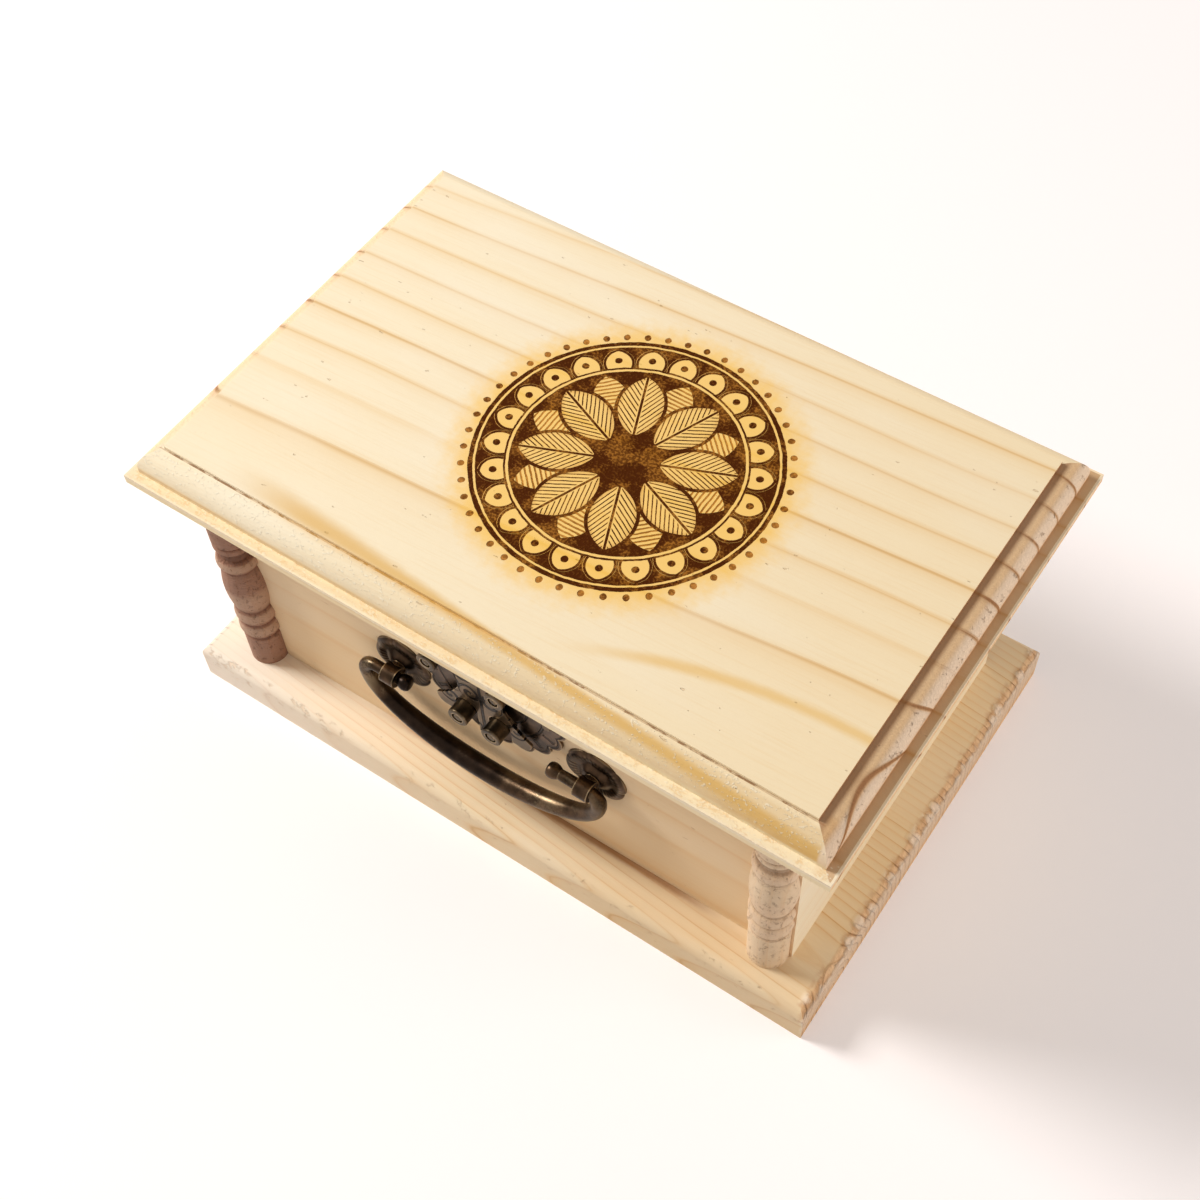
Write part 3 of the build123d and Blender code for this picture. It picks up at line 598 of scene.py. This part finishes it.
def bronze(name, base=(92, 72, 54), wear=1.0, extra=None):
    """Dark antique plating, softly mottled, worn to brass on edges and rims."""
    material, start, feed = new_finish(name, Metallic=1.0)
    place = start.node("TexCoord", output=3)
    mottle = noise(place, (230.0, 230.0, 230.0), detail=3.0, roughness=0.5)
    fine = noise(place, (2200.0, 2200.0, 2200.0), detail=2.0)
    dark = tone(*(part * 0.55 for part in base))
    colour = mix(start, rise(mottle, 0.30, 0.70), dark, tone(*base))
    edge = worn_edges(start, 0.0007, 0.02, 0.14) * rise(mottle, 0.25, 0.55)
    wear_and_highlight = most(edge * 0.8, rise(mottle, 0.60, 0.78) * rise(fine, 0.42, 0.6) * 0.30) * wear
    height = fine * 0.10 + mottle * 0.15
    if extra:
        colour, wear_and_highlight, height = extra(start, colour, wear_and_highlight, height)
    colour = mix(start, wear_and_highlight, colour, RUBBED_BRASS)
    feed("Base Color", colour)
    feed("Roughness", 0.24 + 0.18 * mottle)
    feed("Normal", bump(height, 0.0002))
    return material


def painted_bail_reflections(start, colour, wear_and_highlight, height):
    """The bail: a painted dark reflection over its left and middle, painted brass highlights in
    patches at its bends and lower right, and softer edge wear.
    """
    place, across, _, _ = spot(start)
    across = across - BAIL_MIDDLE
    fine = noise(place, (1700.0, 1700.0, 1700.0), detail=2.0)
    slow = noise(place, (130.0, 130.0, 130.0), detail=2.0)
    # Painted brass highlights at the bends and lower right
    painted_highlight_reach = most(band(across, -2.0, 20.0, 30.0, 38.0) * 0.6, fall(across, -38.5, -35.0),
                   rise(across, 34.0, 38.5) * 0.4)
    painted_highlight_patch = rise(slow + (fine - 0.5) * 0.4, 0.36, 0.62) * painted_highlight_reach
    # A painted dark reflection over the left and middle
    painted_dark_reflection = band(across, -36.0, -30.0, -2.0, 14.0)
    colour = mix(start, painted_dark_reflection * 0.75, colour, tone(34, 28, 26))
    return colour, most(wear_and_highlight * 0.7, painted_highlight_patch * 0.26), height


def fluted_petals(start, colour, wear_and_highlight, height):
    """Dark flutes that fan out over the rosettes' petals, with worn tops."""
    _, across, _, up = spot(start)
    outer = rise(across, HANDLE[0] - 1.0, HANDLE[0] + 1.0)
    across = across - HANDLE[0] + HANDLE[1] - outer * (2 * HANDLE[1])
    up = up - HANDLE[2]
    angle = up.math("ARCTAN2", across)
    flute = abs((angle * (36 / (2 * math.pi)) + 0.5).math("FRACT") - 0.5) * 2.0
    radius = length(across, up)
    reach = band(radius, 5.0, 6.6, 7.6, 9.0)
    colour = mix(start, rise(flute, 0.55, 1.0) * reach * 0.3, colour, tone(26, 20, 16))
    wear_and_highlight = most(wear_and_highlight * fall(radius, 5.0, 7.0), fall(flute, 0.2, 0.6) * reach * 0.16,
                  rise(radius, 9.5, 9.8) * 0.2)
    return colour, wear_and_highlight, height


def scroll(across, up, centre, size, turns, hand):
    """A scroll line that winds in to its centre."""
    across = across - centre[0]
    up = up - centre[1]
    radius = length(across, up)
    angle = up.math("ARCTAN2", across)
    wound = (angle * (hand / (2 * math.pi)) + radius * (turns / size)).math("FRACT")
    return fall(abs(wound - 0.5), 0.21, 0.29) * fall(radius, size * 0.92, size)


def engraved_leaf(start, colour, wear_and_highlight, height):
    """Scrolls and a border sunk in the hasp's leaf, the same on both sides of its middle."""
    _, across, _, up = spot(start)
    across = abs(across - HASP_MIDDLE)
    drop = HASP_TOP - up
    lines = most(
        scroll(across, drop, (5.2, 8.2), 4.6, 1.6, 1.0),
        scroll(across, drop, (10.4, 16.0), 4.8, 1.7, -1.0),
        scroll(across, drop, (3.6, 17.6), 4.0, 1.5, -1.0),
        scroll(across, drop, (11.0, 24.4), 3.6, 1.4, 1.0),
        scroll(across, drop, (2.9, 33.0), 2.9, 1.3, 1.0),
        line(across, 0.35, 0.3) * rise(drop, 5.0, 6.0))
    flat = rise(drop, 4.0, 4.4)
    sunk = most(lines * flat, line(drop - 3.3, 0.35, 0.3))
    # Painted shade under the lid on the barrel and the leaf's top
    colour = mix(start, fall(drop, 3.0, 3.4) * 0.6, colour, tone(52, 42, 33))
    colour = mix(start, sunk * 0.92, colour, tone(12, 9, 8))
    wear_and_highlight = most(wear_and_highlight, (1.0 - sunk) * flat * 0.14)
    wear_and_highlight = most(wear_and_highlight, fall(drop, 0.6, 1.6) * 0.10)
    return colour, wear_and_highlight * (1.0 - sunk), height - sunk * 1.6


def engraved_plate(start, colour, wear_and_highlight, height):
    """Ring lines and short strokes in the lobes of the latch plate."""
    _, across, _, up = spot(start)
    across = across - PLATE_MIDDLE[0]
    up = up - PLATE_MIDDLE[1]
    radius = length(across, up)
    angle = (up.math("ARCTAN2", across) * (18 / (2 * math.pi)) + 0.725).math("FRACT") - 0.5
    stroke = fall(abs(angle), 0.06, 0.12) * band(radius, 18.6, 19.0, 22.4, 22.8)
    sunk = most(line(radius - 17.6, 0.3, 0.25), line(radius - 12.4, 0.25, 0.25), stroke)
    wave = (angle * 2.0) ** 2.0
    sunk = most(sunk, line(radius - 23.8 + wave * 1.6, 0.2, 0.25))
    colour = mix(start, sunk * 0.8, colour, tone(16, 12, 10))
    return colour, wear_and_highlight * (1.0 - sunk), height - sunk * 1.8


def shaded_bracket(start, colour, wear_and_highlight, height):
    """The bracket's sheet, painted black as shade under the lid, behind its two worn posts."""
    deep = spot(start)[2]
    sheet = rise(deep, -60.6, -59.8)
    colour = mix(start, sheet * 0.8, colour, tone(36, 29, 24))
    return colour, wear_and_highlight * (1.0 - sheet), height


def steel(name):
    material, start, feed = new_finish(name, Metallic=1.0)
    place = start.node("TexCoord", output=3)
    fine = noise(place, (900.0, 900.0, 900.0), detail=3.0)
    feed("Base Color", mix(start, fine, tone(150, 150, 152), tone(196, 196, 198)))
    feed("Roughness", 0.28 + 0.2 * fine)
    feed("Normal", bump(fine, 0.00008))
    return material


# ---------------------------------------------------------------- fittings with finer form

MM = 0.001


def finished_piece(name, shape, material, body, sharp=35.0):
    """Closes a bmesh into a named bronze piece that rides on a body."""
    bmesh.ops.remove_doubles(shape, verts=shape.verts, dist=1e-6)
    bmesh.ops.dissolve_degenerate(shape, edges=shape.edges, dist=1e-7)
    bmesh.ops.recalc_face_normals(shape, faces=shape.faces)
    mesh = bpy.data.meshes.new(name)
    shape.to_mesh(mesh)
    shape.free()
    mesh.polygons.foreach_set("use_smooth", [True] * len(mesh.polygons))
    mesh.set_sharp_from_angle(angle=math.radians(sharp))
    piece = bpy.data.objects.new(name, mesh)
    bpy.context.scene.collection.objects.link(piece)
    dress(piece, material)
    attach(piece, body)
    return piece


def turned(shape, outline, place, turn, steps=40, form=None):
    """Spins an outline of (radius, height) points in mm, shapes it by form and sets it down."""
    before = set(shape.verts)
    points = [shape.verts.new((radius, 0.0, height)) for radius, height in outline]
    edges = [shape.edges.new(pair) for pair in zip(points, points[1:])]
    bmesh.ops.spin(shape, geom=points + edges, cent=(0.0, 0.0, 0.0), axis=(0.0, 0.0, 1.0),
                   angle=2 * math.pi, steps=steps, use_merge=True)
    made = [vertex for vertex in shape.verts if vertex not in before]
    if form:
        for vertex in made:
            vertex.co = form(vertex.co)
    into_place = Matrix.Translation(Vector(place) * MM) @ turn @ Matrix.Scale(MM, 4)
    bmesh.ops.transform(shape, verts=made, matrix=into_place)


QUARTER = math.pi / 2
TO_FRONT = Matrix.Rotation(QUARTER, 4, "X")
TO_RIGHT = Matrix.Rotation(QUARTER, 4, "Y")
TO_LEFT = Matrix.Rotation(-QUARTER, 4, "Y")
SIDES = ((-1, "left"), (1, "right"))

# The rosettes' petals in mm: how far their tips and the notches between them reach
PETAL_TIP = 9.9
PETAL_NOTCH = 9.2
PETAL_TURN = math.radians(15)


def petal_form(point):
    """Draws a plain turned disc into six domed petals with fine flutes."""
    radius = math.hypot(point.x, point.y)
    angle = math.atan2(point.y, point.x)
    swell = abs(math.cos(3 * (angle - PETAL_TURN)))
    outer = PETAL_NOTCH + (PETAL_TIP - PETAL_NOTCH) * swell ** 0.6
    part = radius / PETAL_TIP
    on_petal = max(0.0, min(1.0, (part - 0.5) / 0.12)) if point.z > 0.1 else 0.0
    flute = 0.5 + 0.5 * math.cos(36 * angle)
    edge = max(0.0, 1.0 - part) / 0.4
    height = point.z - on_petal * ((1.0 - swell) * 0.35 + flute * 0.10 * min(1.0, edge * 1.5) ** 2)
    spread = radius * (1 + (outer / PETAL_TIP - 1) * max(0.0, part - 0.45) / 0.55)
    return Vector((spread * math.cos(angle), spread * math.sin(angle), height))


def petalled_rosettes(material):
    """The handle's two back plates: six domed petals with fine flutes round a boss."""
    outline = [(2.05, 0.0), (2.05, 2.2), (3.1, 2.2), (3.3, 2.1), (4.2, 1.45), (5.0, 1.02),
               (5.5, 0.95), (6.2, 1.1), (7.0, 1.28), (7.9, 1.32), (8.7, 1.18), (9.3, 0.92),
               (9.7, 0.6), (PETAL_TIP, 0.3), (PETAL_TIP, 0.0), (2.05, 0.0)]
    for side, word in SIDES:
        shape = bmesh.new()
        place = (HANDLE[0] + side * HANDLE[1], WALL_FRONT, HANDLE[2])
        turned(shape, outline, place, TO_FRONT, 216, petal_form)
        piece = finished_piece("petalled_rosette_" + word, shape, material, "box")
        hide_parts("handle_rosette_" + word)


def swelled_bail(material):
    """The bail's bar, thick in the middle and thin at its bent ends, with pins and round knobs."""
    half = 39.7
    drop = 24.5
    bend = 4.2
    bow = drop - bend
    right_half = [((23.6, 0.0), (22.6, 0.0), (25.0, 0.0), 1.5),
                  ((half - bend, 0.0), (half - 6.4, 0.0), (half - 1.9, 0.0), 1.75),
                  ((half, -bend), (half, -1.9), (half, -bend - 0.55 * bow), 2.3)]
    middle = ((0.0, -drop), (0.55 * half, -drop), (-0.55 * half, -drop), 3.25)
    left_half = [tuple((-x, z) for x, z in (here, after, before)) + (radius,)
                 for here, before, after, radius in reversed(right_half)]
    points = right_half + [middle] + left_half
    data = bpy.data.curves.new("bail_path", "CURVE")
    data.dimensions = "3D"
    data.bevel_depth = MM
    data.bevel_resolution = 7
    data.resolution_u = 18
    data.use_fill_caps = True
    path = data.splines.new("BEZIER")
    path.bezier_points.add(len(points) - 1)
    path.radius_interpolation = "EASE"
    centre = Vector((BAIL_MIDDLE, BAIL_DEPTH, HANDLE[2])) * MM
    for point, (here, before, after, radius) in zip(path.bezier_points, points):
        point.handle_left_type = point.handle_right_type = "FREE"
        point.co = centre + Vector((here[0], 0.0, here[1])) * MM
        point.handle_left = centre + Vector((before[0], 0.0, before[1])) * MM
        point.handle_right = centre + Vector((after[0], 0.0, after[1])) * MM
        point.radius = radius
    bar = bpy.data.objects.new("bail_path", data)
    shape = bmesh.new()
    shape.from_mesh(bpy.data.meshes.new_from_object(bar))
    knob = [(0.0, 0.0), (1.2, 0.05), (1.9, 0.35), (2.25, 0.95), (2.35, 1.8), (2.2, 2.7), (1.9, 3.4),
            (1.6, 4.0), (0.0, 4.0)]
    knob_end = 23.35
    turned(shape, knob, (BAIL_MIDDLE - knob_end, BAIL_DEPTH, HANDLE[2]), TO_LEFT)
    turned(shape, knob, (BAIL_MIDDLE + knob_end, BAIL_DEPTH, HANDLE[2]), TO_RIGHT)
    piece = finished_piece("swelled_bail", shape, material, "bail", 50.0)
    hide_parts("bail")


def rivet_cores(material):
    """The round cores that are swaged inside the four hollow posts."""
    cores = [("latch_post_core", 5.65, -64.8, 57.1, 1.52, 4.0, "box"),
             ("pivot_post_core", 10.95, -67.1, HASP_TOP, 1.34, 3.2, "lid")]
    for name, spread, end, height, radius, depth, body in cores:
        outline = [(0.0, 0.0), (radius, 0.0), (radius, depth - 0.55),
                   (radius - 0.18, depth - 0.50), (radius - 0.30, depth - 0.20),
                   (radius - 0.50, depth - 0.12), (0.0, depth - 0.18)]
        for side, word in SIDES:
            shape = bmesh.new()
            place = (HASP_MIDDLE + side * spread, end + depth, height)
            turned(shape, outline, place, TO_FRONT, 32)
            finished_piece(name + "_" + word, shape, material, body)


bpy.context.scene.view_settings.view_transform = "Standard"
set_camera()
set_world()
lay_floor()
add_lamp("window_lamp", (-1.32, -0.34, 1.15), (0.0, 0.0, 0.05), 0.62, 28.5, (1.0, 0.99, 0.98))
add_lamp("far_wall_lamp", (1.05, 0.45, 0.27), (0.0, 0.0, 0.05), 0.80, 5.4, (1.0, 0.92, 0.87))

pines = {
    "lid_board": pine("pine lid board", (0.0, -0.0535, 0.0785), (0.0, -0.02, 0.05), 10.6, 4.0,
                      phase=0.54, gloss=0.04, extra=burnt_medallion),
    "base_board": pine("pine base board", (0.0, -0.044, 0.004), (0.0, 0.02, -0.10), 2.5, 5.0,
                       tint=(0.97, 0.90, 0.83), extra=torn_base),
    # The front wall's tint is painted warm shade from under the lid
    "front_wall": pine("pine front wall", (0.0, -0.020, 0.030), (0.02, 0.0, 0.0), 6.5, 4.0,
                       dark=0.6, tint=(0.95, 0.83, 0.71)),
    "back_wall": pine("pine back wall", (0.0, 0.020, 0.055), (0.02, 0.0, 0.0), 5.0, 4.0, dark=0.8),
    # The left wall's tint is painted shade that keeps its lamp-lit face from white
    "left_wall": pine("pine left wall", (-0.060, 0.0, 0.040), (0.0, 0.0, QUARTER), 5.5, 4.0,
                      dark=0.6, tint=(0.86, 0.80, 0.74)),
    "right_wall": pine("pine right wall", (0.060, 0.0, 0.060), (0.0, 0.0, QUARTER), 5.5, 4.0,
                       dark=0.3)}
# Each column's tint is partly a darker wood and partly painted shade, much darker on the left
# column
for name, tint_and_painted_shade in (("column_left", (0.40, 0.26, 0.25)), ("column_right", (0.90, 0.80, 0.75))):
    pines[name] = pine("turned softwood " + name, (0.0, -0.052, 0.0), (0.0, QUARTER, 0.0), 2.6, 2.0,
                       dark=0.4, ends=0.25, tint=tint_and_painted_shade, extra=turned_grooves)
for name, material in pines.items():
    dress(cad[name], material)

fitting_bronze = bronze("antique bronze fitting")
bail_bronze = bronze("bail bronze with painted reflections", wear=0.8, extra=painted_bail_reflections)
rosette_bronze = bronze("fluted rosette bronze", extra=fluted_petals)
leaf_bronze = bronze("engraved hasp bronze", base=(112, 92, 76), extra=engraved_leaf)
plate_bronze = bronze("engraved plate bronze", base=(112, 92, 76), extra=engraved_plate)
hinge_bronze = bronze("hinge bronze", base=(120, 98, 76), wear=0.5)
post_bronze = bronze("rubbed post bronze", base=(112, 96, 74), wear=1.2)
bracket_bronze = bronze("shaded bracket bronze", base=(112, 96, 74), wear=1.2, extra=shaded_bracket)
zinc_steel = steel("zinc plated steel")
for name in cad:
    if name.startswith(("handle_post", "bail", "hasp_pin")):
        dress(cad[name], fitting_bronze)
    if name.startswith(("latch_post", "latch_tacks")):
        dress(cad[name], post_bronze)
    if name.startswith(("hinge_wall_leaf", "hinge_lid_leaf")):
        dress(cad[name], hinge_bronze)
    if name.startswith(("base_nails", "handle_washers", "handle_nuts", "hinge_pin")):
        dress(cad[name], zinc_steel)
    if name.endswith("_screws"):
        dress(cad[name], zinc_steel)

petalled_rosettes(rosette_bronze)
swelled_bail(bail_bronze)
rivet_cores(post_bronze)
dress(cad["hasp"], leaf_bronze)
dress(cad["hasp_bracket"], bracket_bronze)
dress(cad["latch_plate"], plate_bronze)
